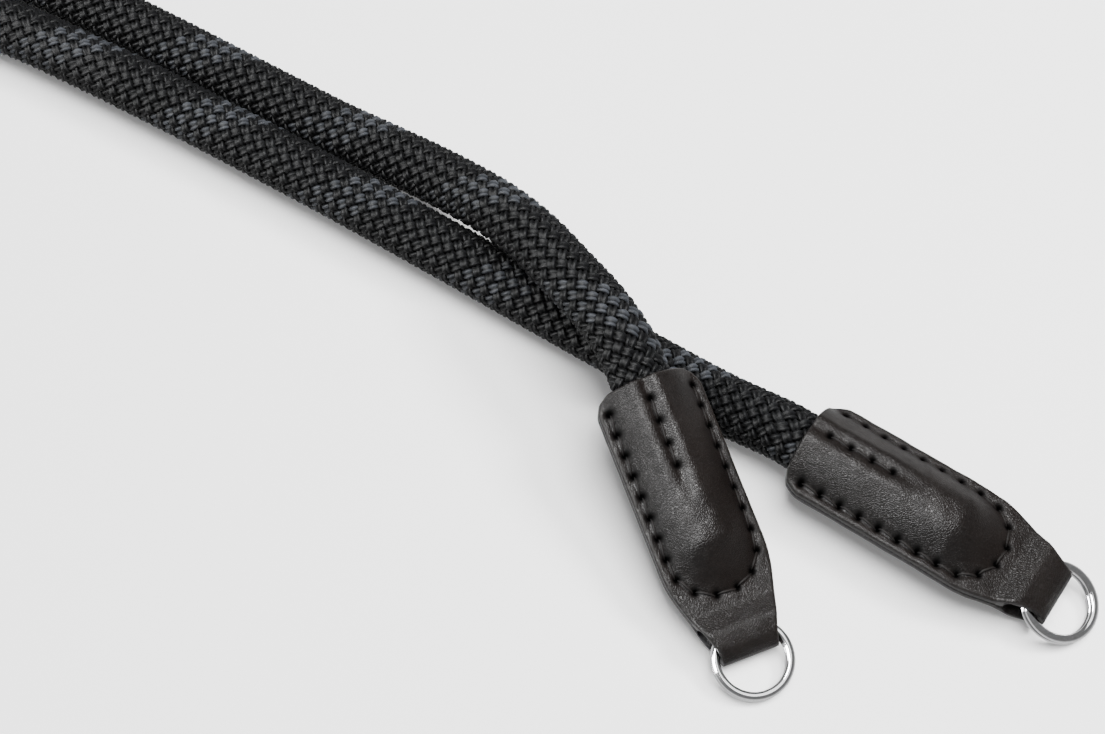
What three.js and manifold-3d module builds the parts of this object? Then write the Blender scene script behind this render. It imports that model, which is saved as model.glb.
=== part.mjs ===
// A rope camera strap, lying doubled on a table: one braided rope, a folded leather
// tab sewn over each of its ends, and a steel split ring in the fold of each tab.
// Millimetres, +Z up, table at z = 0. +X runs along the rope towards the tabs, and the
// origin is on the table, under the middle of the two tabs with their rings.

import * as THREE from "three";
import { mergeVertices } from "three/addons/utils/BufferGeometryUtils.js";
import Module from "manifold-3d";

const wasm = await Module();
wasm.setup();

// Rope
const ROPE_DIAMETER = 10;
const ROPE_SIDES = 10;
const ROPE_STEPS = 80;
const ROPE_IN_TAB = 26.6;
const STRAIGHT_OUT = 4;

// Leather tabs
const TAB_LENGTH = 45.1;
const SEAM_NOTCH = 0.3;
const DOME_ROUNDNESS = 2.2;
const DOME_FALL = 1.2;
const DROOP_START = 22;
const POCKET_RADIUS = 5.42;
const POCKET_SIDES = 20;
const POCKET_OVERRUN = 2;
const POCKET_END = 27;
const POCKET_TIP = 31.5;
const POCKET_TIP_RADIUS = 1.2;

// Ring slot through the fold, seen from the side
const SLOT_START = 38.9;
const SLOT_END = 43.8;
const SLOT_HALF_HEIGHT = 1.65;
const SLOT_INNER_CORNER = 0.7;
const SLOT_LENGTH = 24;

// Split rings
const RING_OUTER_DIAMETER = 12.4;
const WIRE_DIAMETER = 0.95;
const TURN_PITCH = 1.05;
const WIRE_SIDES = 8;
const COIL_SWEEP = 668;
const COIL_STEP = 9.54;
const JOG_START = 315;
const JOG_END = 352;
const COIL_PHASE = -153;
const HINGE_ALONG = 42.5;
const HINGE_TO_CENTRE = 3.1;

// Sections across a tab, from its mouth to its fold: half its width, half its sewn
// thickness, and the height and half-width of the dome over the rope.
const TAB_SECTIONS = [
  { along: 0.0, halfWidth: 6.2, sheet: 1.4, dome: 5.35, domeHalf: 7.4 },
  { along: 0.8, halfWidth: 7.65, sheet: 1.4, dome: 5.35, domeHalf: 7.4 },
  { along: 2.8, halfWidth: 8.6, sheet: 1.4, dome: 5.35, domeHalf: 7.4 },
  { along: 12.0, halfWidth: 8.6, sheet: 1.4, dome: 5.35, domeHalf: 7.4 },
  { along: 22.0, halfWidth: 8.6, sheet: 1.4, dome: 5.35, domeHalf: 7.4 },
  { along: 27.0, halfWidth: 8.6, sheet: 1.4, dome: 5.2, domeHalf: 7.2 },
  { along: 29.0, halfWidth: 8.6, sheet: 1.4, dome: 4.1, domeHalf: 6.8 },
  { along: 31.1, halfWidth: 8.5, sheet: 1.4, dome: 2.6, domeHalf: 6.2 },
  { along: 33.2, halfWidth: 8.1, sheet: 1.4, dome: 1.0, domeHalf: 5.4 },
  { along: 34.9, halfWidth: 7.6, sheet: 1.4, dome: 0.1, domeHalf: 4.8 },
  { along: 36.8, halfWidth: 7.05, sheet: 1.5, dome: 0.0, domeHalf: 4.0 },
  { along: 38.4, halfWidth: 6.45, sheet: 2.1, dome: 0.0, domeHalf: 4.0 },
  { along: 39.9, halfWidth: 5.9, sheet: 2.75, dome: 0.0, domeHalf: 4.0 },
  { along: 41.4, halfWidth: 5.35, sheet: 2.9, dome: 0.0, domeHalf: 4.0 },
  { along: 42.8, halfWidth: 4.9, sheet: 2.75, dome: 0.0, domeHalf: 4.0 },
  { along: 44.1, halfWidth: 4.65, sheet: 2.2, dome: 0.0, domeHalf: 4.0 },
  { along: 44.8, halfWidth: 4.6, sheet: 1.5, dome: 0.0, domeHalf: 4.0 },
  { along: TAB_LENGTH, halfWidth: 4.55, sheet: 0.7, dome: 0.0, domeHalf: 4.0 },
];

// Places across a section, as shares of its half-width
const ACROSS = [-1, -0.86, -0.76, -0.62, -0.46, -0.3, -0.15, 0, 0.15, 0.3, 0.46, 0.62, 0.76, 0.86, 1];

// Where each tab lies: the middle of its mouth, the way it points, how far it tilts down,
// how far its fold droops below its mouth, how deep its underside may go below its
// middle before the table flattens it, and how far its ring slopes down.
const TABS = [
  {
    number: 1,
    mouth: [-36.4, 8.2, 13.84],
    headingDeg: -36.8,
    tiltDeg: 15.1,
    droop: 0,
    flatBelow: 20,
    ringSlopeDeg: 11.5,
  },
  {
    number: 2,
    mouth: [-10.8, 15.9, 6.5],
    headingDeg: -2.3,
    tiltDeg: 0,
    droop: 3.2,
    flatBelow: 6.5,
    ringSlopeDeg: 19.8,
  },
];

// The free rope from the first tab's mouth to the second's: over the other strand, down
// beside it, round the bend at the far end and back along the table.
const STRAND_POINTS = [
  [-42.8, 12.6, 15.7],
  [-48.8, 15.6, 15.9],
  [-56.8, 18.8, 15.2],
  [-64.8, 22.1, 13.8],
  [-72.8, 24.6, 11.8],
  [-80.8, 26.3, 9.3],
  [-88.8, 27.3, 7.3],
  [-97.8, 27.9, 5.8],
  [-107.8, 27.9, 5.15],
  [-119.8, 27.7, 5.05],
  [-151.8, 27.0, 5.02],
  [-175.8, 25.4, 5.0],
  [-199.8, 18.3, 5.0],
  [-221.8, 6.3, 5.0],
  [-243.8, -3.7, 5.0],
  [-265.8, -6.5, 5.0],
  [-289.8, -0.2, 5.0],
  [-313.8, 11.8, 5.0],
  [-339.8, 23.4, 5.0],
  [-367.8, 29.2, 5.0],
  [-391.8, 29.4, 5.0],
  [-408.6, 24.6, 5.0],
  [-418.5, 11.5, 5.0],
  [-418.5, -4.9, 5.0],
  [-408.6, -18.0, 5.0],
  [-391.8, -22.8, 5.0],
  [-367.8, -22.2, 5.0],
  [-339.8, -17.0, 5.0],
  [-313.8, -12.2, 5.0],
  [-289.8, -12.8, 5.0],
  [-265.8, -17.0, 5.0],
  [-239.8, -14.1, 5.0],
  [-215.8, -2.8, 5.0],
  [-193.8, 9.3, 5.0],
  [-171.8, 15.0, 5.0],
  [-149.8, 16.7, 5.02],
  [-103.8, 17.1, 5.05],
  [-39.8, 16.1, 5.15],
  [-25.8, 15.95, 5.35],
  [-17.8, 16.1, 6.1],
];

const LEATHER = { color: 0x2a2321, roughness: 0.55, metalness: 0.0 };
const ROPE = { color: 0x1c1d20, roughness: 0.95, metalness: 0.0 };
const STEEL = { color: 0xc9cbd0, roughness: 0.18, metalness: 1.0 };

const radians = THREE.MathUtils.degToRad;

// A closed body through rings of equally many points, with a fan over each end.
function loft(rings) {
  const count = rings[0].length;
  const points = rings.flat();
  const faces = [];
  for (let ring = 0; ring < rings.length - 1; ring += 1) {
    for (let k = 0; k < count; k += 1) {
      const a = ring * count + k;
      const b = ring * count + ((k + 1) % count);
      faces.push(a, b, b + count, a, b + count, a + count);
    }
  }
  const ends = [rings[0], rings[rings.length - 1]];
  ends.forEach((ring, end) => {
    const middle = ring.reduce((sum, p) => sum.add(p), new THREE.Vector3()).divideScalar(count);
    const first = end * (rings.length - 1) * count;
    points.push(middle);
    for (let k = 0; k < count; k += 1) {
      const edge = [first + k, first + ((k + 1) % count)];
      faces.push(points.length - 1, ...(end === 0 ? edge.reverse() : edge));
    }
  });
  const geometry = new THREE.BufferGeometry().setFromPoints(points);
  geometry.setIndex(faces);
  return geometry;
}

function solidOf(geometry) {
  const bare = geometry.clone();
  bare.deleteAttribute("normal");
  bare.deleteAttribute("uv");
  const merged = mergeVertices(bare, 1e-4);
  return new wasm.Manifold(
    new wasm.Mesh({
      numProp: 3,
      vertProperties: new Float32Array(merged.getAttribute("position").array),
      triVerts: new Uint32Array(merged.getIndex().array),
    }),
  );
}

function geometryOf(solid) {
  const mesh = solid.getMesh();
  const geometry = new THREE.BufferGeometry();
  geometry.setAttribute("position", new THREE.BufferAttribute(mesh.vertProperties, 3));
  geometry.setIndex(new THREE.BufferAttribute(mesh.triVerts, 1));
  return geometry;
}

function namedMesh(name, geometry, look) {
  const mesh = new THREE.Mesh(geometry, new THREE.MeshStandardMaterial(look));
  mesh.name = name;
  return mesh;
}

// A frame at a place, with +X along the heading and tilted down.
function placed(position, tiltDeg, headingDeg) {
  const group = new THREE.Group();
  group.position.set(...position);
  group.rotation.set(0, radians(tiltDeg), radians(headingDeg), "ZYX");
  group.updateMatrix();
  return group;
}

function tabFrame(tab) {
  return placed(tab.mouth, tab.tiltDeg, tab.headingDeg);
}

// Height of a tab's middle layer at a distance from its mouth.
function middleHeight(tab, along) {
  const share = Math.max(0, (along - DROOP_START) / (TAB_LENGTH - DROOP_START));
  return -tab.droop * share * share;
}

function domeRise(section, across) {
  const share = Math.min(1, Math.abs(across) / section.domeHalf);
  return section.dome * (1 - share ** DOME_ROUNDNESS) ** DOME_FALL;
}

// One section across a tab, its two layers parted by a notch along each edge.
function tabRing(tab, section) {
  const middle = middleHeight(tab, section.along);
  const at = (across, height) => new THREE.Vector3(section.along, across, height);
  const top = ACROSS.map((share) => {
    const across = share * section.halfWidth;
    return at(across, middle + section.sheet + domeRise(section, across));
  });
  const bottom = ACROSS.map((share) => {
    const across = share * section.halfWidth;
    return at(across, Math.max(-tab.flatBelow, middle - section.sheet - domeRise(section, across)));
  });
  const notch = section.halfWidth - SEAM_NOTCH;
  return [at(-notch, middle), ...bottom, at(notch, middle), ...top.reverse()];
}

function ropePocket() {
  const straight = POCKET_END + POCKET_OVERRUN;
  const bore = new THREE.CylinderGeometry(POCKET_RADIUS, POCKET_RADIUS, straight, POCKET_SIDES);
  bore.rotateZ(-Math.PI / 2);
  bore.translate(POCKET_END - straight / 2, 0, 0);
  const tip = POCKET_TIP - POCKET_END;
  const cone = new THREE.CylinderGeometry(POCKET_TIP_RADIUS, POCKET_RADIUS, tip, POCKET_SIDES);
  cone.rotateZ(-Math.PI / 2);
  cone.translate(POCKET_END + tip / 2, 0, 0);
  return solidOf(bore).add(solidOf(cone));
}

// The slot for the ring, square at its inner end and round at the fold.
function ringSlot(tab) {
  const outline = new THREE.Shape();
  const inner = SLOT_START + SLOT_INNER_CORNER;
  const shoulder = SLOT_HALF_HEIGHT - SLOT_INNER_CORNER;
  const outer = SLOT_END - SLOT_HALF_HEIGHT;
  outline.moveTo(inner, -SLOT_HALF_HEIGHT);
  outline.lineTo(outer, -SLOT_HALF_HEIGHT);
  outline.absarc(outer, 0, SLOT_HALF_HEIGHT, -Math.PI / 2, Math.PI / 2);
  outline.lineTo(inner, SLOT_HALF_HEIGHT);
  outline.absarc(inner, shoulder, SLOT_INNER_CORNER, Math.PI / 2, Math.PI);
  outline.absarc(inner, -shoulder, SLOT_INNER_CORNER, Math.PI, 1.5 * Math.PI);
  const slot = new THREE.ExtrudeGeometry(outline, {
    depth: SLOT_LENGTH,
    bevelEnabled: false,
    curveSegments: 6,
  });
  slot.translate(-HINGE_ALONG, 0, -SLOT_LENGTH / 2);
  slot.rotateX(Math.PI / 2);
  slot.rotateY(slopeAt(tab, HINGE_ALONG));
  slot.translate(HINGE_ALONG, 0, middleHeight(tab, HINGE_ALONG));
  return solidOf(slot);
}

// How steeply a tab's middle layer goes down at a distance from its mouth, in radians.
function slopeAt(tab, along) {
  const span = 0.5;
  const fall = middleHeight(tab, along - span) - middleHeight(tab, along + span);
  return Math.atan2(fall, 2 * span);
}

function endTab(tab) {
  const outside = solidOf(loft(TAB_SECTIONS.map((section) => tabRing(tab, section))));
  const leather = outside.subtract(ropePocket()).subtract(ringSlot(tab));
  const frame = tabFrame(tab);
  frame.add(namedMesh(`end_tab_${tab.number}`, geometryOf(leather), LEATHER));
  return frame;
}

// A split ring: two flat turns of round wire, one on the other, joined by a short jog.
// Its frame's origin is where it swings in the fold.
function splitRing(tab) {
  const wireRadius = WIRE_DIAMETER / 2;
  const coilRadius = RING_OUTER_DIAMETER / 2 - wireRadius;
  const steps = Math.round(COIL_SWEEP / COIL_STEP);
  const rings = [];
  for (let step = 0; step <= steps; step += 1) {
    const turn = (step * COIL_SWEEP) / steps;
    const height = TURN_PITCH * (THREE.MathUtils.smoothstep(turn, JOG_START, JOG_END) - 0.5);
    const angle = radians(turn + COIL_PHASE);
    const ring = [];
    for (let side = 0; side < WIRE_SIDES; side += 1) {
      const round = (2 * Math.PI * (side + 0.5)) / WIRE_SIDES;
      const radius = coilRadius + wireRadius * Math.cos(round);
      ring.push(
        new THREE.Vector3(
          HINGE_TO_CENTRE + radius * Math.cos(angle),
          radius * Math.sin(angle),
          height + wireRadius * Math.sin(round),
        ),
      );
    }
    rings.push(ring.reverse());
  }
  const hinge = new THREE.Vector3(HINGE_ALONG, 0, middleHeight(tab, HINGE_ALONG));
  hinge.applyMatrix4(tabFrame(tab).matrix);
  const frame = placed(hinge.toArray(), tab.ringSlopeDeg, tab.headingDeg);
  frame.add(namedMesh(`split_ring_${tab.number}`, loft(rings), STEEL));
  return frame;
}

// A point on a tab's middle line, before its mouth or inside it.
function onTab(tab, along) {
  return new THREE.Vector3(along, 0, 0).applyMatrix4(tabFrame(tab).matrix);
}

function rope() {
  const [first, second] = TABS;
  const insideOut = [ROPE_IN_TAB, ROPE_IN_TAB / 2, 0, -STRAIGHT_OUT];
  const route = new THREE.CatmullRomCurve3([
    ...insideOut.map((along) => onTab(first, along)),
    ...STRAND_POINTS.map((point) => new THREE.Vector3(...point)),
    ...insideOut.reverse().map((along) => onTab(second, along)),
  ]);
  route.arcLengthDivisions = 4000;
  const section = new THREE.Shape();
  for (let side = 0; side < ROPE_SIDES; side += 1) {
    const angle = (2 * Math.PI * side) / ROPE_SIDES;
    const point = [Math.cos(angle), Math.sin(angle)].map((share) => (share * ROPE_DIAMETER) / 2);
    if (side === 0) {
      section.moveTo(...point);
    } else {
      section.lineTo(...point);
    }
  }
  const tube = new THREE.ExtrudeGeometry(section, { steps: ROPE_STEPS, extrudePath: route });
  return namedMesh("rope", tube, ROPE);
}

const strap = new THREE.Group();
strap.add(rope());
for (const tab of TABS) {
  strap.add(endTab(tab), splitRing(tab));
}

export default strap;
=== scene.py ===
"""Looks of a rope camera strap lying doubled on a pale floor: a braided rope, two sewn leather
tabs and two polished split rings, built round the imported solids. Sizes are in millimetres and
go to metres where a mesh is made; +Z is up and the floor is z = 0."""

import math

import bpy
import numpy as np
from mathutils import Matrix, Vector


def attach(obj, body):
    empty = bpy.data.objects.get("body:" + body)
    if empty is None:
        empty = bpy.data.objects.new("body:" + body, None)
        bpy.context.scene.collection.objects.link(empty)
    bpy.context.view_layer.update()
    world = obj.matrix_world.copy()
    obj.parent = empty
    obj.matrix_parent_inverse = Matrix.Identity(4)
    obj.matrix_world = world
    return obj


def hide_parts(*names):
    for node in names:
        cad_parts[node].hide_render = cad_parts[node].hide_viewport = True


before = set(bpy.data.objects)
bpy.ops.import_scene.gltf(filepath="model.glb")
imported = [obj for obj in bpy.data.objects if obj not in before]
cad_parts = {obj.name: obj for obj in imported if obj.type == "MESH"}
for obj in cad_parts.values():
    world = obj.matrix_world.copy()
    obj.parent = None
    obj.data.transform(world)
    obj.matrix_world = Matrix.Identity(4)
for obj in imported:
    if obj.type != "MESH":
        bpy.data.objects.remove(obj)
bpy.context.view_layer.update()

MM = 0.001

# Camera, fitted to the photograph
IMAGE_WIDTH = 1105
FOCAL_PIXELS = 2280
SENSOR_WIDTH = 36
CAMERA_PLACE = (37.2, -139.3, 328.5)
CAMERA_TARGET = (-53.8, 9.8, 0.0)
CAMERA_CLIP = 10

# Rope
ROPE_IN_TAB = 26.6
STRAIGHT_OUT = 4
CORE_RADIUS = 3.8
CORE_SIDES = 16
CORE_STEP = 3
PATH_STEP = 0.5

# Braid: strands each way, the length of one turn, and the shape of a strand of two yarns
STRANDS = 12
LAY = 30.11
BRAID_RADIUS = 4.03
WEAVE_RISE = 0.42
YARN_RISE = 0.56
STRAND_FILL = 1.0
DIVE_NARROWING = 0.2
DIVE_SHARPNESS = 0.8
DIVE_SHADE = 0.45
STRAND_SECTION = [
    (-1, 0.0),
    (-0.72, 0.85),
    (-0.38, 0.95),
    (0, 0.12),
    (0.38, 0.95),
    (0.72, 0.85),
    (1, 0.0),
    (0, -0.5),
]
BRAID_INSIDE_TAB = 5
LIGHT_STRANDS = range(2, 6)
SEEN_FROM_TAB_1 = 185
SEEN_FROM_TAB_2 = 160

# The free rope from the first tab's mouth to the second's
STRAND_POINTS = [
    (-42.8, 12.6, 15.7),
    (-48.8, 15.6, 15.9),
    (-56.8, 18.8, 15.2),
    (-64.8, 22.1, 13.8),
    (-72.8, 24.6, 11.8),
    (-80.8, 26.3, 9.3),
    (-88.8, 27.3, 7.3),
    (-97.8, 27.65, 5.8),
    (-107.8, 27.45, 5.15),
    (-119.8, 27.35, 5.05),
    (-151.8, 27.0, 5.02),
    (-175.8, 25.4, 5.0),
    (-199.8, 18.3, 5.0),
    (-221.8, 6.3, 5.0),
    (-243.8, -3.7, 5.0),
    (-265.8, -6.5, 5.0),
    (-289.8, -0.2, 5.0),
    (-313.8, 11.8, 5.0),
    (-339.8, 23.4, 5.0),
    (-367.8, 29.2, 5.0),
    (-391.8, 29.4, 5.0),
    (-408.6, 24.6, 5.0),
    (-418.5, 11.5, 5.0),
    (-418.5, -4.9, 5.0),
    (-408.6, -18.0, 5.0),
    (-391.8, -22.8, 5.0),
    (-367.8, -22.2, 5.0),
    (-339.8, -17.0, 5.0),
    (-313.8, -12.2, 5.0),
    (-289.8, -12.8, 5.0),
    (-265.8, -17.0, 5.0),
    (-239.8, -14.1, 5.0),
    (-215.8, -2.8, 5.0),
    (-193.8, 9.3, 5.0),
    (-171.8, 15.0, 5.0),
    (-149.8, 16.7, 5.02),
    (-103.8, 17.4, 5.05),
    (-39.8, 16.1, 5.15),
    (-25.8, 15.95, 5.35),
    (-17.8, 16.1, 6.1),
]

# Tabs: columns are distance from the mouth, half-width, half thickness, and the height and
# half-width of the dome over the rope
TAB_LENGTH = 45.1
TAB_SECTIONS = np.array([
    (0.0, 6.2, 1.4, 5.35, 7.4),
    (0.8, 7.65, 1.4, 5.35, 7.4),
    (2.8, 8.6, 1.4, 5.35, 7.4),
    (12.0, 8.6, 1.4, 5.35, 7.4),
    (22.0, 8.6, 1.4, 5.35, 7.4),
    (27.0, 8.6, 1.4, 5.2, 7.2),
    (29.0, 8.6, 1.4, 4.1, 6.8),
    (31.1, 8.5, 1.4, 2.6, 6.2),
    (33.2, 8.1, 1.4, 1.0, 5.4),
    (34.9, 7.6, 1.4, 0.1, 4.8),
    (36.8, 7.05, 1.5, 0.0, 4.0),
    (38.4, 6.45, 2.1, 0.0, 4.0),
    (39.9, 5.9, 2.75, 0.0, 4.0),
    (41.4, 5.35, 2.9, 0.0, 4.0),
    (42.8, 4.9, 2.75, 0.0, 4.0),
    (44.1, 4.65, 2.2, 0.0, 4.0),
    (44.8, 4.6, 1.5, 0.0, 4.0),
    (TAB_LENGTH, 4.55, 0.7, 0.0, 4.0),
])
SECTION_BLUR = 0.7
SHARP_ENDS = 2.5
DOME_ROUNDNESS = 2.2
DOME_FALL = 1.2
DROOP_START = 22
TABS = [
    {
        "number": 1,
        "mouth": (-36.4, 8.2, 13.84),
        "heading": -36.8,
        "tilt": 15.1,
        "droop": 0.0,
        "flat_below": 20.0,
        "ring_slope": 11.5,
        "channel_depth": 0.85,
        "channel_across": -0.9,
    },
    {
        "number": 2,
        "mouth": (-10.8, 15.9, 6.5),
        "heading": -2.3,
        "tilt": 0.0,
        "droop": 3.2,
        "flat_below": 6.5,
        "ring_slope": 19.8,
        "channel_depth": 0.45,
        "channel_across": 0.3,
    },
]

# The leather sheet of a tab, its pocket and its ring loop
SHEET_ALONG = 150
LOOP_ALONG = 36
SHEET_ACROSS = 81
MOUTH_DENSITY = 1.15
LOOP_START = 37.4
EDGE_ROUND = 0.55
MOUTH_ROUND = 0.4
SEAM_GAP = 0.04
SEAM_NOTCH = 0.25
LEAST_WALL = 0.75
LEAST_RISE = 0.12
FOLD_RISE = 0.75
POCKET_RADIUS = 5.42
POCKET_END = 27
POCKET_TIP = 31.5
POCKET_TIP_RADIUS = 1.2
SLOT_START = 38.6
SLOT_END = 43.8
SLOT_HALF_HEIGHT = 1.85
SLOT_INNER_CORNER = 0.7

# The dip between the sewing and the loop, and the loop's own bulge
VALLEY_ALONG = 37.0
VALLEY_DEPTH = 0.15
VALLEY_WIDTH = 0.9
LOOP_TOP = 40.2
LOOP_BULGE = 0.25
BULGE_WIDTH = 1.1

# The leather's small unevenness: each wave's height, its radians a millimetre along and across,
# and its share of the face's own phase
WAVES = [
    (0.05, 0.9, 0.5, 1),
    (0.04, 0.43, -1.1, 2.1),
    (0.03, 1.7, 1.3, -1),
]
CALM_PAST_SEWING = 0.75

# How far the paler edge reaches in from an edge, and the painted shade of a stitch hole from its
# middle
PALE_EDGE_WIDTH = 0.3
MOUTH_PALENESS = 0.8
HOLE_SHADE_RADIUS = 0.62
HOLE_SHADE_STRENGTH = 1.5

# Sewing
STITCH_INSET = 1.6
STITCH_SPACING = 3.5
STITCH_START = 3.0
STITCH_TURN = 28.5
STITCH_BOTTOM = 34.9
STITCH_LINE_STEP = 0.25
GROOVE_DEPTH = 0.2
GROOVE_WIDTH = 0.42
HOLE_DEPTH = 0.75
HOLE_RADIUS = 0.52
THREAD_RADIUS = 0.24
THREAD_SLANT = 0.2
THREAD_SIDES = 8
THREAD_ARCH = 1.2
THREAD_FULLNESS = 0.6
THREAD_SINK = 1.05
THREAD_TAPER = 0.12
CENTRE_HOLES = (3.4, 7.1, 10.9, 14.5)
CHANNEL_WIDTH = 0.95
CHANNEL_END = 18.5
CHANNEL_FADE = 1.3
RIDGE_RISE = 0.22
RIDGE_OFFSET = 2.2
RIDGE_WIDTH = 0.8

# Split rings
RING_OUTER_DIAMETER = 12.9
WIRE_WIDTH = 1.35
WIRE_HEIGHT = 0.95
TURN_PITCH = 1.05
WIRE_SIDES = 20
COIL_SWEEP = 668
COIL_STEPS = 280
JOG_START = 315
JOG_END = 352
COIL_PHASE = -153
HINGE_ALONG = 42.5
HINGE_TO_CENTRE = 3.1
END_TAPER = 0.16
END_TAPER_TURN = 4

# Colours, each a darkest and a brightest where there are two
DARK_YARN = ((0.0028, 0.0029, 0.0032), (0.0066, 0.0068, 0.0075))
LIGHT_YARN = ((0.021, 0.023, 0.0265), (0.045, 0.048, 0.055))
# The yarn's painted shade, for its grooves, its dives under crossing strands and the core
PAINTED_SHADE_YARN = (0.0007, 0.0007, 0.0008)
LEATHER = ((0.0032, 0.0022, 0.0019), (0.0068, 0.0049, 0.0042))
# The leather's painted shade in the grain's furrows
LEATHER_FURROW_SHADE = (0.0012, 0.0009, 0.0008)
LEATHER_PALE_EDGE = (0.009, 0.0072, 0.0064)
# The leather's painted shade in its stitch holes
LEATHER_HOLE_SHADE = (0.0004, 0.0004, 0.0004)
THREAD = ((0.003, 0.0025, 0.0023), (0.009, 0.0075, 0.007))
STEEL = ((0.7, 0.7, 0.71), (0.84, 0.84, 0.85))
FLOOR = ((0.9, 0.9, 0.9), (0.92, 0.92, 0.92))
BLACK, WHITE = (0, 0, 0), (1, 1, 1)

# Stage: half the floor's side, the studio's glow from below and above and where it fades by
# height, and the soft boxes: place, target, size, watts, and whether it shines or lights
FLOOR_HALF = 1500
FLOOR_CORNERS = ((-1, -1), (1, -1), (1, 1), (-1, 1))
GLOW_BELOW = 1.0
GLOW_ABOVE = 0.2
GLOW_FADE = (-0.25, 0.4)
LIGHTS = {
    "overhead": ((-230, -40, 680), (-40, 10, 0), (220, 170), 7, True),
    "left": ((-250, -260, 610), (-40, 10, 0), (200, 160), 8, True),
    "side": ((-500, -400, 330), (-40, 10, 0), (320, 320), 9, True),
    "panel": ((-60, 220, 900), (-60, 0, 0), (700, 600), 3.4, True),
    "key": ((440, 520, 700), (-40, 10, 0), (300, 260), 15, False),
    "fill": ((60, 130, 850), (-40, 10, 0), (600, 600), 21, False),
}


# Camera


def look_from(thing, place, target):
    thing.location = Vector(place) * MM
    aim = (Vector(target) - Vector(place)).normalized()
    thing.rotation_euler = aim.to_track_quat("-Z", "Y").to_euler()


def make_camera():
    data = bpy.data.cameras.new("camera")
    data.sensor_width = SENSOR_WIDTH
    data.lens = FOCAL_PIXELS * SENSOR_WIDTH / IMAGE_WIDTH
    data.clip_start = CAMERA_CLIP * MM
    camera = bpy.data.objects.new("camera", data)
    bpy.context.scene.collection.objects.link(camera)
    look_from(camera, CAMERA_PLACE, CAMERA_TARGET)
    bpy.context.scene.camera = camera


# Meshes


def mesh_piece(name, points, faces, body, material, marks=None):
    """A smooth mesh of quads or triangles, in millimetres, that rides on a body."""
    faces = np.asarray(faces, np.int32)
    corners = faces.shape[1]
    mesh = bpy.data.meshes.new(name)
    mesh.vertices.add(len(points))
    mesh.vertices.foreach_set("co", (np.asarray(points) * MM).astype(np.float32).ravel())
    mesh.loops.add(faces.size)
    mesh.loops.foreach_set("vertex_index", faces.ravel())
    mesh.polygons.add(len(faces))
    mesh.polygons.foreach_set("loop_start", np.arange(0, faces.size, corners, dtype=np.int32))
    mesh.update(calc_edges=True)
    mesh.validate()
    mesh.polygons.foreach_set("use_smooth", np.ones(len(mesh.polygons), bool))
    for mark, values in (marks or {}).items():
        layer = mesh.attributes.new(mark, "FLOAT", "POINT")
        layer.data.foreach_set("value", np.asarray(values, np.float32).ravel())
    mesh.materials.append(material)
    piece = bpy.data.objects.new(name, mesh)
    bpy.context.scene.collection.objects.link(piece)
    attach(piece, body)
    return piece


def tube_faces(rings, sides, first=0):
    """Quads of a tube of closed rings, each end closed by a fan of quads over its ring."""
    ring = np.arange(rings - 1)[:, None] * sides
    side = np.arange(sides)[None, :]
    after = (side + 1) % sides
    walls = np.stack([ring + side, ring + after, ring + sides + after, ring + sides + side], -1)
    fan = np.arange(sides // 2 - 1)
    start = np.stack([fan, sides - 1 - fan, sides - 2 - fan, fan + 1], -1)
    end = start[:, ::-1] + (rings - 1) * sides
    return np.concatenate([walls.reshape(-1, 4), start, end]) + first


# Rope


def tab_turn(tab):
    """The turn of a tab's frame: +X along its heading and tilted down."""
    tilt, heading = math.radians(tab["tilt"]), math.radians(tab["heading"])
    down = np.array([
        [math.cos(tilt), 0, math.sin(tilt)],
        [0, 1, 0],
        [-math.sin(tilt), 0, math.cos(tilt)],
    ])
    round_z = np.array([
        [math.cos(heading), -math.sin(heading), 0],
        [math.sin(heading), math.cos(heading), 0],
        [0, 0, 1],
    ])
    return round_z @ down


def on_tab(tab, points):
    return np.asarray(points, float) @ tab_turn(tab).T + np.array(tab["mouth"])


def smooth_curve(points, per_span=40):
    """A centripetal Catmull-Rom curve through the points."""
    p = np.vstack([2 * points[0] - points[1], points, 2 * points[-1] - points[-2]])
    share = np.linspace(0, 1, per_span, endpoint=False)[:, None]
    stretches = []
    for p0, p1, p2, p3 in zip(p[:-3], p[1:-2], p[2:-1], p[3:]):
        spans = ((p0, p1), (p1, p2), (p2, p3))
        d0, d1, d2 = (math.sqrt(np.linalg.norm(b - a)) for a, b in spans)
        t1 = ((p1 - p0) / d0 - (p2 - p0) / (d0 + d1) + (p2 - p1) / d1) * d1
        t2 = ((p2 - p1) / d1 - (p3 - p1) / (d1 + d2) + (p3 - p2) / d2) * d1
        stretches.append(
            p1 * (2 * share**3 - 3 * share**2 + 1)
            + t1 * (share**3 - 2 * share**2 + share)
            + p2 * (3 * share**2 - 2 * share**3)
            + t2 * (share**3 - share**2)
        )
    return np.vstack([*stretches, points[-1:]])


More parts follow.
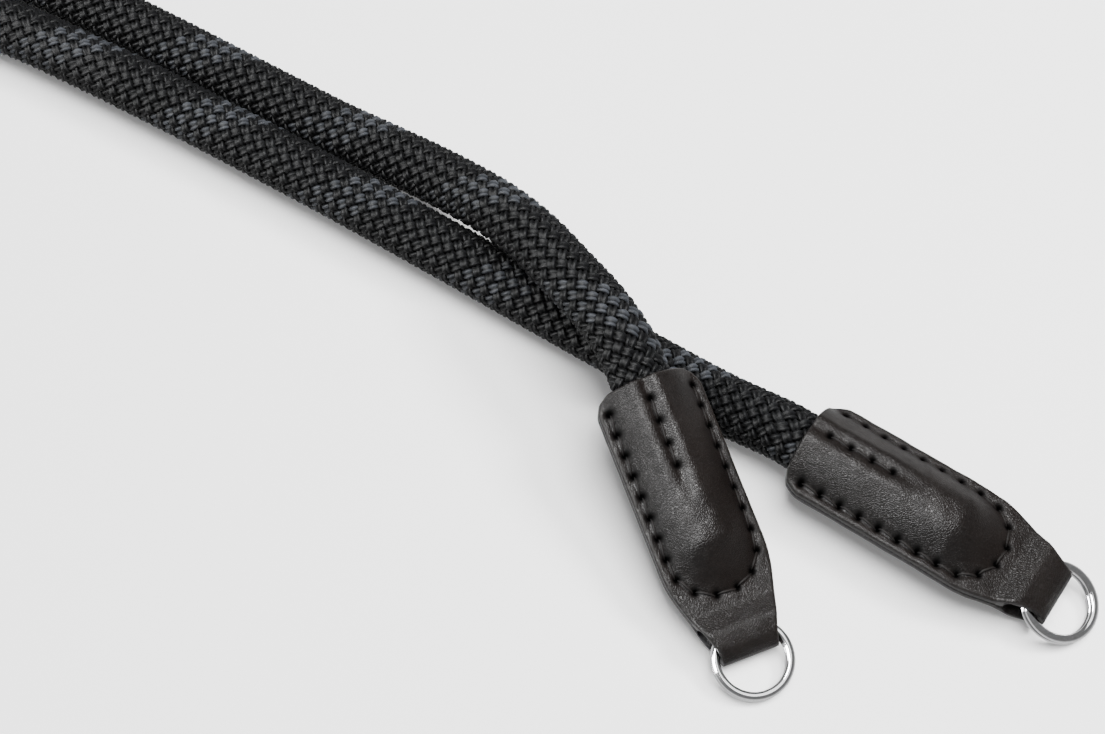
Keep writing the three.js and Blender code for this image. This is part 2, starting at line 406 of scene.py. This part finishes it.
class Path:
    """The rope's middle line, evenly stepped, with a frame that doesn't twist."""

    def __init__(self):
        depths = (ROPE_IN_TAB, ROPE_IN_TAB / 2, 0, -STRAIGHT_OUT)
        inside = np.array([(along, 0, 0) for along in depths])
        points = np.vstack([
            on_tab(TABS[0], inside),
            STRAND_POINTS,
            on_tab(TABS[1], inside[::-1]),
        ])
        curve = smooth_curve(points)
        run = np.concatenate([[0], np.cumsum(np.linalg.norm(np.diff(curve, axis=0), axis=1))])
        self.length = run[-1]
        self.at = np.linspace(0, self.length, int(self.length / PATH_STEP) + 1)
        self.points = np.stack([np.interp(self.at, run, curve[:, k]) for k in range(3)], 1)
        ahead = np.gradient(self.points, axis=0)
        ahead /= np.linalg.norm(ahead, axis=1)[:, None]
        up = np.empty_like(ahead)
        last = np.array([0.0, 0.0, 1.0])
        for i, direction in enumerate(ahead):
            last = last - direction * (last @ direction)
            last = last / np.linalg.norm(last)
            up[i] = last
        self.up = up
        self.side = np.cross(ahead, up)

    def place(self, along, angle, radius):
        """Points at a distance along the rope, an angle round it and a radius."""
        centre, up, side = (
            np.stack([np.interp(along, self.at, part[:, k]) for k in range(3)], -1)
            for part in (self.points, self.up, self.side)
        )
        outward = np.cos(angle)[..., None] * up + np.sin(angle)[..., None] * side
        return centre + radius[..., None] * outward


def make_core(path, material):
    along = np.linspace(0, path.length, int(path.length / CORE_STEP))
    angle = np.linspace(0, 2 * math.pi, CORE_SIDES, endpoint=False)
    grid = path.place(
        np.repeat(along[:, None], CORE_SIDES, 1),
        np.repeat(angle[None, :], len(along), 0),
        np.full((len(along), CORE_SIDES), CORE_RADIUS),
    )
    faces = tube_faces(len(along), CORE_SIDES)
    points = grid.reshape(-1, 3)
    # The core is coloured all in the yarn's painted shade.
    marks = {"painted_shade": np.ones(len(points))}
    core = mesh_piece("rope_core", points, faces, "strap", material, marks)
    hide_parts("rope")
    return core


def strand_stations(path):
    """Places along the rope where a strand has a section: four a crossing where the camera sees
    it closely, and two elsewhere."""
    crossing = LAY / (2 * STRANDS)
    first = math.ceil((ROPE_IN_TAB - BRAID_INSIDE_TAB) / crossing)
    last = math.floor((path.length - ROPE_IN_TAB + BRAID_INSIDE_TAB) / crossing)
    quarter = np.arange(first * 4, last * 4 + 1) / 4
    along = quarter * crossing
    seen = (along < SEEN_FROM_TAB_1) | (along > path.length - SEEN_FROM_TAB_2)
    keep = seen | (np.arange(len(quarter)) % 2 == 0)
    return quarter[keep]


def make_strands(path, name, hand, numbers, material):
    """Strands of one hand, each of two yarns, going over one and under one of the other hand."""
    crossings = strand_stations(path)
    along = crossings * LAY / (2 * STRANDS)
    round_length = 2 * math.pi * BRAID_RADIUS
    lean = math.atan2(round_length, LAY)
    half_width = STRAND_FILL * round_length * math.cos(lean) / STRANDS / 2
    over = hand * np.cos(math.pi * crossings)
    over = np.sign(over) * np.abs(over) ** DIVE_SHARPNESS
    width = half_width * (1 - DIVE_NARROWING * (1 - over) / 2)
    shares, rises = np.array(STRAND_SECTION).T
    sides = len(shares)
    across = width[:, None] * shares[None, :]
    radius = BRAID_RADIUS + WEAVE_RISE * over[:, None] + YARN_RISE * rises[None, :]
    own_along = along[:, None] - hand * across * math.sin(lean)
    # Painted shade: darker in the groove between the two yarns, at a strand's edges and where it
    # dives under the other hand.
    painted_shade = np.clip(1 - rises[None, :] + DIVE_SHADE * (1 - over[:, None]) / 2, 0, 1)
    points, faces = [], []
    for number in numbers:
        middle = 2 * math.pi * (hand * along / LAY + number / STRANDS)
        angle = middle[:, None] + across * math.cos(lean) / BRAID_RADIUS
        first = sum(len(p) for p in points)
        points.append(path.place(own_along, angle, radius).reshape(-1, 3))
        faces.append(tube_faces(len(along), sides, first))
    marks = {"painted_shade": np.tile(painted_shade.ravel(), len(points))}
    return mesh_piece(name, np.vstack(points), np.vstack(faces), "strap", material, marks)


# Leather tabs


def section_value(along, column):
    """A column of the sections table at a distance from the mouth, its corners blurred."""
    spread = np.array([-1.0, -0.5, 0.0, 0.5, 1.0]) * SECTION_BLUR
    weights = np.array([1, 2, 3, 2, 1]) / 9
    near = np.clip(along[..., None] + spread, 0, TAB_LENGTH)
    blurred = np.interp(near, TAB_SECTIONS[:, 0], TAB_SECTIONS[:, column]) @ weights
    exact = np.interp(along, TAB_SECTIONS[:, 0], TAB_SECTIONS[:, column])
    end = np.clip(np.minimum(along, TAB_LENGTH - along) / SHARP_ENDS, 0, 1)
    return exact + (blurred - exact) * end


def middle_height(tab, along):
    share = np.maximum(0, (along - DROOP_START) / (TAB_LENGTH - DROOP_START))
    return -tab["droop"] * share**2


def stitch_line():
    """The U of the sewing, finely stepped from one side of the mouth round to the other."""
    side_along = np.arange(STITCH_START, STITCH_TURN, STITCH_LINE_STEP)
    side = np.stack([side_along, section_value(side_along, 1) - STITCH_INSET], 1)
    turn = np.linspace(0, math.pi / 2, 40)
    half = side[-1, 1]
    bend = np.stack([
        STITCH_TURN + (STITCH_BOTTOM - STITCH_TURN) * np.sin(turn),
        half * np.cos(turn),
    ], 1)
    one = np.vstack([side, bend])
    other = one[::-1][1:] * (1, -1)
    return np.vstack([one, other])


def stitch_holes(line):
    run = np.concatenate([[0], np.cumsum(np.linalg.norm(np.diff(line, axis=0), axis=1))])
    count = round(run[-1] / STITCH_SPACING)
    at = np.linspace(0, run[-1], count + 1)
    return np.stack([np.interp(at, run, line[:, k]) for k in range(2)], 1)


STITCH_LINE = stitch_line()
STITCH_HOLES = stitch_holes(STITCH_LINE)


def nearest(along, across, places):
    """The distance from each point to the nearest of the places."""
    least = np.full(along.shape, 1e9)
    for place in places:
        least = np.minimum(least, np.hypot(along - place[0], across - place[1]))
    return least


def centre_holes(tab):
    return [(along, tab["channel_across"]) for along in CENTRE_HOLES]


def dome_rise(along, across):
    share = np.minimum(1, np.abs(across) / section_value(along, 4))
    return section_value(along, 3) * (1 - share**DOME_ROUNDNESS) ** DOME_FALL


def corner_drop(distance, radius):
    """How far a rounded edge falls at a distance in from it."""
    inside = np.clip(radius - distance, 0, radius)
    return radius - np.sqrt(np.maximum(0, radius**2 - inside**2))


def sewn_dent(along, across, holes):
    groove = GROOVE_DEPTH * np.exp(-((nearest(along, across, STITCH_LINE) / GROOVE_WIDTH) ** 2))
    pits = HOLE_DEPTH * np.exp(-((nearest(along, across, holes) / HOLE_RADIUS) ** 2))
    return groove + pits


def hand_waves(along, across, phase):
    """The small unevenness of sewn leather, calmer past the sewing."""
    calm = 1 - CALM_PAST_SEWING / (1 + np.exp(STITCH_BOTTOM - along))
    return calm * sum(
        height * np.sin(lengthwise * along + sideways * across + turn * phase)
        for height, lengthwise, sideways, turn in WAVES
    )


def face_height(tab, along, across, top):
    """Height of a tab's outer face above its middle layer's own height, on top or below."""
    edge = section_value(along, 1) - np.abs(across)
    rise = section_value(along, 2) + dome_rise(along, across)
    holes = list(STITCH_HOLES)
    if top:
        off = across - tab["channel_across"]
        reach = 1 / (1 + np.exp((along - CHANNEL_END) / CHANNEL_FADE))
        rise = rise - tab["channel_depth"] * reach * np.exp(-((off / CHANNEL_WIDTH) ** 2))
        ridge = (np.abs(off) - RIDGE_OFFSET) / RIDGE_WIDTH
        rise = rise + RIDGE_RISE * reach * np.exp(-(ridge**2))
        holes += centre_holes(tab)
    rise = rise - VALLEY_DEPTH * np.exp(-(((along - VALLEY_ALONG) / VALLEY_WIDTH) ** 2))
    rise = rise + LOOP_BULGE * np.exp(-(((along - LOOP_TOP) / BULGE_WIDTH) ** 2))
    rise = rise + hand_waves(along, across, 3.0 * tab["number"] + (0 if top else 1.5))
    rise = rise - sewn_dent(along, across, holes)
    rise = rise - corner_drop(edge, EDGE_ROUND) - corner_drop(along, MOUTH_ROUND)
    return np.maximum(rise, LEAST_RISE)


def pocket_height(along, across):
    share = np.clip((along - POCKET_END) / (POCKET_TIP - POCKET_END), 0, 1)
    radius = POCKET_RADIUS + (POCKET_TIP_RADIUS - POCKET_RADIUS) * share
    height = np.sqrt(np.maximum(0, radius**2 - across**2))
    return np.where(along > POCKET_TIP, 0, height)


def slot_profile(count):
    """The upper half of the ring's slot, from the closed layers to the middle of the fold."""
    shoulder = SLOT_HALF_HEIGHT - SLOT_INNER_CORNER
    bend = np.linspace(0, math.pi / 2, 9)
    corner = np.stack([
        SLOT_START + SLOT_INNER_CORNER * (1 - np.cos(bend)),
        shoulder + SLOT_INNER_CORNER * np.sin(bend),
    ], 1)
    outer = SLOT_END - SLOT_HALF_HEIGHT
    nose = np.stack([
        outer + SLOT_HALF_HEIGHT * np.sin(bend),
        SLOT_HALF_HEIGHT * np.cos(bend),
    ], 1)
    line = np.vstack([[LOOP_START, SEAM_GAP], [SLOT_START, SEAM_GAP], corner, nose])
    run = np.concatenate([[0], np.cumsum(np.linalg.norm(np.diff(line, axis=0), axis=1))])
    at = np.linspace(0, run[-1], count)
    return np.stack([np.interp(at, run, line[:, k]) for k in range(2)], 1)


def half_sheet(tab, top):
    """Outer and inner faces of one half of a tab's folded sheet, from its mouth to the fold,
    and the outer face's marks of its paler edges and of the painted shade in its stitch holes."""
    sign = 1 if top else -1
    shares = np.sin(np.linspace(-math.pi / 2, math.pi / 2, SHEET_ACROSS))
    flat = np.linspace(0, 1, SHEET_ALONG - LOOP_ALONG) ** MOUTH_DENSITY * LOOP_START
    quarter = np.sin(np.linspace(0, math.pi / 2, LOOP_ALONG + 1))[1:]
    loop = LOOP_START + (TAB_LENGTH - LOOP_START) * quarter
    along = np.concatenate([flat, loop])
    half_width = section_value(along, 1)
    grid_along = np.repeat(along[:, None], SHEET_ACROSS, 1)
    grid_across = half_width[:, None] * shares[None, :]
    rise = face_height(tab, grid_along, grid_across, top)
    rise[-1] = 0
    rise[-2] = np.minimum(rise[-2], FOLD_RISE)
    middle = middle_height(tab, grid_along)
    height = middle + sign * rise
    if not top:
        height = np.maximum(height, -tab["flat_below"])
    outer = np.stack([grid_along, grid_across, height], -1)
    slot = slot_profile(LOOP_ALONG + 1)[1:]
    inner_along = np.concatenate([flat, slot[:, 0]])
    inner_rise = np.maximum(SEAM_GAP, pocket_height(grid_along, grid_across))
    room = np.maximum(SEAM_GAP, sign * (height - middle) - LEAST_WALL)
    inner_rise = np.minimum(inner_rise, room)
    edge = half_width[:, None] - np.abs(grid_across)
    inner_rise = inner_rise + corner_drop(edge, SEAM_NOTCH)
    inner_rise[-LOOP_ALONG:] = slot[:, 1][:, None]
    inner_grid = np.repeat(inner_along[:, None], SHEET_ACROSS, 1)
    inner = np.stack([
        inner_grid,
        section_value(inner_grid, 1) * shares[None, :],
        middle_height(tab, inner_grid) + sign * inner_rise,
    ], -1)
    # Paler colour along the edges and at the mouth.
    mouth_paleness = MOUTH_PALENESS * np.exp(-((grid_along / PALE_EDGE_WIDTH) ** 2))
    pale_edge = np.exp(-((edge / PALE_EDGE_WIDTH) ** 2)) + mouth_paleness
    holes = list(STITCH_HOLES) + (centre_holes(tab) if top else [])
    # Painted shade: the colour goes near black round each stitch hole.
    painted_hole_shade = np.exp(-((nearest(grid_along, grid_across, holes) / HOLE_SHADE_RADIUS) ** 2))
    return outer, inner, np.minimum(pale_edge, 1), np.minimum(HOLE_SHADE_STRENGTH * painted_hole_shade, 1)


def make_tab(tab, material):
    """A tab: one sheet folded round its ring, its two halves sewn over the rope's end."""
    top_outer, top_inner, top_pale_edge, top_hole_shade = half_sheet(tab, True)
    low_outer, low_inner, low_pale_edge, low_hole_shade = half_sheet(tab, False)
    outer = np.concatenate([top_outer, low_outer[::-1][1:]])
    inner = np.concatenate([top_inner, low_inner[::-1][1:]])
    pale_edge = np.concatenate([top_pale_edge, low_pale_edge[::-1][1:]])
    painted_hole_shade = np.concatenate([top_hole_shade, low_hole_shade[::-1][1:]])
    rows, columns = outer.shape[:2]
    index = np.arange(rows * columns).reshape(rows, columns)
    low = index + rows * columns

    def quads(a, b, c, d):
        return np.stack([a, b, c, d], -1).reshape(-1, 4)

    faces = [
        quads(index[:-1, :-1], index[1:, :-1], index[1:, 1:], index[:-1, 1:]),
        quads(low[:-1, :-1], low[:-1, 1:], low[1:, 1:], low[1:, :-1]),
        quads(index[0, :-1], index[0, 1:], low[0, 1:], low[0, :-1]),
        quads(index[-1, 1:], index[-1, :-1], low[-1, :-1], low[-1, 1:]),
        quads(index[1:, 0], index[:-1, 0], low[:-1, 0], low[1:, 0]),
        quads(index[:-1, -1], index[1:, -1], low[1:, -1], low[:-1, -1]),
    ]
    points = on_tab(tab, np.concatenate([outer.reshape(-1, 3), inner.reshape(-1, 3)]))
    marks = {
        "pale_edge": np.concatenate([pale_edge.ravel(), np.full(inner.shape[0] * columns, 0.5)]),
        "painted_hole_shade": np.concatenate([painted_hole_shade.ravel(), np.zeros(inner.shape[0] * columns)]),
    }
    name = f"end_tab_{tab['number']}_leather"
    piece = mesh_piece(name, points, np.vstack(faces), "strap", material, marks)
    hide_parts(f"end_tab_{tab['number']}")


def thread_points(tab, start, end, top):
    """The middle line of one stitch, from hole to hole over the leather."""
    share = np.linspace(0, 1, 9)
    ahead = (end - start) / np.linalg.norm(end - start)
    slant = np.array([-ahead[1], ahead[0]]) * THREAD_SLANT
    flat = (start + slant) + share[:, None] * (end - start - 2 * slant)
    along, across = flat.T
    sign = 1 if top else -1
    level = face_height(tab, along, across, top)
    low = np.minimum(level[0], level[-1])
    arch = THREAD_ARCH * np.sin(math.pi * share) ** THREAD_FULLNESS
    body = np.maximum(level, low) + THREAD_RADIUS * (arch - THREAD_SINK)
    height = middle_height(tab, along) + sign * body
    if not top:
        height = np.maximum(height, THREAD_RADIUS - tab["flat_below"])
    return np.stack([along, across, height], 1)


def make_stitches(tab, material):
    """All the thread that shows on a tab, as one mesh."""
    turn = np.linspace(0, 2 * math.pi, THREAD_SIDES, endpoint=False)
    lines = []
    for top in (True, False):
        runs = [STITCH_HOLES]
        if top:
            runs.append(np.array(centre_holes(tab)))
        for holes in runs:
            lines += [thread_points(tab, a, b, top) for a, b in zip(holes[:-1], holes[1:])]
    points, faces = [], []
    for line in lines:
        ahead = np.gradient(line, axis=0)
        ahead /= np.linalg.norm(ahead, axis=1)[:, None]
        side = np.cross(ahead, (0, 0, 1.0))
        side /= np.linalg.norm(side, axis=1)[:, None]
        up = np.cross(side, ahead)
        taper = np.linspace(THREAD_TAPER, math.pi - THREAD_TAPER, len(line))
        thick = THREAD_RADIUS * np.sqrt(np.sin(taper))
        ring = (
            np.cos(turn)[None, :, None] * side[:, None]
            + np.sin(turn)[None, :, None] * up[:, None]
        )
        first = len(points) * len(line) * THREAD_SIDES
        points.append((line[:, None] + thick[:, None, None] * ring).reshape(-1, 3))
        faces.append(tube_faces(len(line), THREAD_SIDES, first)[:, ::-1])
    name = f"stitches_{tab['number']}"
    placed = on_tab(tab, np.vstack(points))
    mesh_piece(name, placed, np.vstack(faces), "strap", material)


# Split rings


def make_ring(tab, material):
    """Two turns of flattened wire, one on the other, joined by a short jog."""
    coil = (RING_OUTER_DIAMETER - WIRE_WIDTH) / 2
    turn = np.linspace(0, COIL_SWEEP, COIL_STEPS)
    share = np.clip((turn - JOG_START) / (JOG_END - JOG_START), 0, 1)
    height = TURN_PITCH * (share**2 * (3 - 2 * share) - 0.5)
    angle = np.radians(turn + COIL_PHASE)
    ends = np.minimum(turn, COIL_SWEEP - turn)
    thick = (1 - END_TAPER * np.clip(1 - ends / END_TAPER_TURN, 0, 1) ** 2) / 2
    round_wire = np.linspace(0, 2 * math.pi, WIRE_SIDES, endpoint=False)
    radius = coil + WIRE_WIDTH * thick[:, None] * np.cos(round_wire)
    points = np.stack([
        HINGE_TO_CENTRE + radius * np.cos(angle)[:, None],
        radius * np.sin(angle)[:, None],
        height[:, None] + WIRE_HEIGHT * thick[:, None] * np.sin(round_wire),
    ], -1)
    hinge = on_tab(tab, [HINGE_ALONG, 0, float(middle_height(tab, np.array(HINGE_ALONG)))])
    slope = {"tilt": tab["ring_slope"], "heading": tab["heading"], "mouth": hinge}
    number = tab["number"]
    faces = tube_faces(COIL_STEPS, WIRE_SIDES)[:, ::-1]
    placed = on_tab(slope, points.reshape(-1, 3))
    name = f"split_ring_{number}_wire"
    ring = mesh_piece(name, placed, faces, f"ring_{number}", material)
    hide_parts(f"split_ring_{number}")


# Materials


class Nodes:
    """A material and short ways to add and join its nodes."""

    def __init__(self, name):
        self.material = bpy.data.materials.new(name)
        self.material.use_nodes = True
        self.tree = self.material.node_tree
        self.shader = self.tree.nodes["Principled BSDF"]

    def add(self, kind, **values):
        node = self.tree.nodes.new(kind)
        for key, value in values.items():
            if key in node.inputs:
                node.inputs[key].default_value = value
            else:
                setattr(node, key, value)
        return node

    def join(self, out, into):
        self.tree.links.new(out, into)

    def place(self):
        return self.add("ShaderNodeTexCoord").outputs["Object"]

    def noise(self, scale, detail=2.0, rough=0.5):
        node = self.add("ShaderNodeTexNoise", Scale=scale, Detail=detail, Roughness=rough)
        self.join(self.place(), node.inputs["Vector"])
        return node.outputs["Fac"]

    def ramp(self, value, stops):
        node = self.add("ShaderNodeValToRGB")
        self.join(value, node.inputs["Fac"])
        ramp = node.color_ramp
        for k, (at, colour) in enumerate(stops):
            stop = ramp.elements[k] if k < 2 else ramp.elements.new(at)
            stop.position = at
            stop.color = (*colour, 1) if len(colour) == 3 else colour
        return node.outputs["Color"]

    def mix(self, share, a, b):
        node = self.add("ShaderNodeMix", data_type="RGBA")
        sockets = (node.inputs["Factor"], node.inputs[6], node.inputs[7])
        for value, socket in zip((share, a, b), sockets):
            if isinstance(value, (tuple, float, int)):
                socket.default_value = (*value, 1) if isinstance(value, tuple) else value
            else:
                self.join(value, socket)
        return node.outputs[2]

    def scaled(self, value, low, high):
        node = self.add("ShaderNodeMapRange")
        self.join(value, node.inputs["Value"])
        node.inputs["To Min"].default_value = low
        node.inputs["To Max"].default_value = high
        return node.outputs["Result"]

    def bump(self, value, distance, strength=1.0, under=None):
        node = self.add("ShaderNodeBump", Distance=distance, Strength=strength)
        self.join(value, node.inputs["Height"])
        if under is not None:
            self.join(under, node.inputs["Normal"])
        return node.outputs["Normal"]

    def mark(self, name):
        return self.add("ShaderNodeAttribute", attribute_name=name).outputs["Fac"]

    def set(self, **values):
        for key, value in values.items():
            self.shader.inputs[key.replace("_", " ")].default_value = value


def yarn_material(name, colours):
    """Matt yarn of fine fibres, a little uneven in colour along the rope, with painted shade in
    the grooves between its yarns, where a strand dives under another and on the core.
    """
    n = Nodes(name)
    patches = n.noise(220, 3.0, 0.6)
    colour = n.ramp(patches, [(0.3, colours[0]), (0.72, colours[1])])
    # Painted shade from the mark: grooves, dives and the core go to the shade colour.
    n.join(n.mix(n.mark("painted_shade"), colour, PAINTED_SHADE_YARN), n.shader.inputs["Base Color"])
    fibres = n.noise(5200, 2.0, 0.7)
    n.join(n.scaled(fibres, 0.36, 0.56), n.shader.inputs["Roughness"])
    n.join(n.bump(fibres, 0.00012, 0.6), n.shader.inputs["Normal"])
    n.set(Specular_IOR_Level=0.13, Sheen_Weight=0.01, Sheen_Roughness=0.5)
    return n.material


def leather_material():
    """Very dark brown leather with fine pebble grain, with painted shade in the grain's furrows
    and in the stitch holes, paler along its edges.
    """
    n = Nodes("leather")
    grain = n.add("ShaderNodeTexVoronoi", Scale=3000.0, Randomness=1.0)
    grain.feature = "DISTANCE_TO_EDGE"
    n.join(n.place(), grain.inputs["Vector"])
    cells = n.ramp(grain.outputs["Distance"], [(0.0, BLACK), (0.22, WHITE)])
    hide = n.noise(160, 4.0, 0.6)
    colour = n.ramp(hide, [(0.3, LEATHER[0]), (0.75, LEATHER[1])])
    # Painted shade: darker in the furrows between the grain's pebbles.
    furrow_shade = n.scaled(cells, 0.55, 0.0)
    colour = n.mix(furrow_shade, colour, LEATHER_FURROW_SHADE)
    colour = n.mix(n.mark("pale_edge"), colour, LEATHER_PALE_EDGE)
    # Painted shade in the stitch holes: near black, and below also rough and without highlight.
    colour = n.mix(n.mark("painted_hole_shade"), colour, LEATHER_HOLE_SHADE)
    n.join(colour, n.shader.inputs["Base Color"])
    satin = n.scaled(n.noise(900, 3.0, 0.6), 0.31, 0.45)
    n.join(n.mix(n.mark("painted_hole_shade"), satin, (0.95, 0.95, 0.95)), n.shader.inputs["Roughness"])
    creases = n.bump(n.noise(420, 4.0, 0.65), 0.00015, 0.3)
    n.join(n.bump(cells, 0.00005, 0.7, creases), n.shader.inputs["Normal"])
    # The painted stitch-hole shade takes no highlight.
    n.join(n.mix(n.mark("painted_hole_shade"), WHITE, BLACK), n.shader.inputs["Specular Tint"])
    n.set(Specular_IOR_Level=0.24)
    return n.material


def thread_material():
    """Waxed black thread."""
    n = Nodes("thread")
    ply = n.noise(4000, 2.0, 0.5)
    n.join(n.ramp(ply, [(0.3, THREAD[0]), (0.7, THREAD[1])]), n.shader.inputs["Base Color"])
    n.join(n.scaled(ply, 0.6, 0.8), n.shader.inputs["Roughness"])
    n.join(n.bump(ply, 0.0001, 0.5), n.shader.inputs["Normal"])
    n.set(Specular_IOR_Level=0.2)
    return n.material


def steel_material():
    """Polished steel with faint scuffs."""
    n = Nodes("steel")
    scuffs = n.noise(1500, 4.0, 0.7)
    n.join(n.ramp(scuffs, [(0.3, STEEL[0]), (0.7, STEEL[1])]), n.shader.inputs["Base Color"])
    n.join(n.scaled(scuffs, 0.05, 0.14), n.shader.inputs["Roughness"])
    n.join(n.bump(n.noise(2600, 3.0, 0.6), 0.00001, 0.3), n.shader.inputs["Normal"])
    n.set(Metallic=1.0)
    return n.material


def floor_material():
    """A pale matt surface that glows a little."""
    n = Nodes("floor")
    tone = n.noise(3, 2.0)
    n.join(n.ramp(tone, [(0.3, FLOOR[0]), (0.7, FLOOR[1])]), n.shader.inputs["Base Color"])
    n.set(Roughness=0.9, Specular_IOR_Level=0.1)
    n.set(Emission_Color=(*WHITE, 1), Emission_Strength=0.15)
    return n.material


# Stage


def make_floor():
    """The floor, left out of reflections: the studio's glow from below stands in for it."""
    corners = [(x * FLOOR_HALF * MM, y * FLOOR_HALF * MM, 0) for x, y in FLOOR_CORNERS]
    mesh = bpy.data.meshes.new("floor")
    mesh.from_pydata(corners, [], [(0, 1, 2, 3)])
    mesh.materials.append(floor_material())
    floor = bpy.data.objects.new("floor", mesh)
    bpy.context.scene.collection.objects.link(floor)
    floor.visible_glossy = False


def make_world():
    """A soft glow, stronger from below than from above."""
    world = bpy.data.worlds.new("studio")
    bpy.context.scene.world = world
    world.use_nodes = True
    tree = world.node_tree
    place = tree.nodes.new("ShaderNodeTexCoord")
    split = tree.nodes.new("ShaderNodeSeparateXYZ")
    fade = tree.nodes.new("ShaderNodeMapRange")
    background = tree.nodes["Background"]
    tree.links.new(place.outputs["Generated"], split.inputs["Vector"])
    tree.links.new(split.outputs["Z"], fade.inputs["Value"])
    tree.links.new(fade.outputs["Result"], background.inputs["Strength"])
    background.inputs["Color"].default_value = (*WHITE, 1)
    fade.inputs["From Min"].default_value, fade.inputs["From Max"].default_value = GLOW_FADE
    fade.inputs["To Min"].default_value = GLOW_BELOW
    fade.inputs["To Max"].default_value = GLOW_ABOVE


def make_light(name, place, target, size, power, shine):
    """A soft box that either lights surfaces or, with shine, leaves a highlight on them."""
    data = bpy.data.lights.new(name, "AREA")
    data.shape = "RECTANGLE"
    data.size, data.size_y = (side * MM for side in size)
    data.energy = power
    light = bpy.data.objects.new(name, data)
    bpy.context.scene.collection.objects.link(light)
    light.visible_glossy = shine
    light.visible_diffuse = not shine
    look_from(light, place, target)


make_camera()
rope_path = Path()
dark_yarn = yarn_material("yarn_dark", DARK_YARN)
light_yarn = yarn_material("yarn_light", LIGHT_YARN)
core = make_core(rope_path, dark_yarn)
dark_strands = [number for number in range(STRANDS) if number not in LIGHT_STRANDS]
braid = [
    make_strands(rope_path, "braid_left_light", -1, LIGHT_STRANDS, light_yarn),
    make_strands(rope_path, "braid_left_dark_a", -1, dark_strands[::2], dark_yarn),
    make_strands(rope_path, "braid_left_dark_b", -1, dark_strands[1::2], dark_yarn),
    make_strands(rope_path, "braid_right_a", 1, range(0, STRANDS, 2), dark_yarn),
    make_strands(rope_path, "braid_right_b", 1, range(1, STRANDS, 2), dark_yarn),
]
leather = leather_material()
thread = thread_material()
steel = steel_material()
for tab in TABS:
    make_tab(tab, leather)
    make_stitches(tab, thread)
    make_ring(tab, steel)
make_floor()
make_world()
for light, setting in LIGHTS.items():
    make_light(light, *setting)
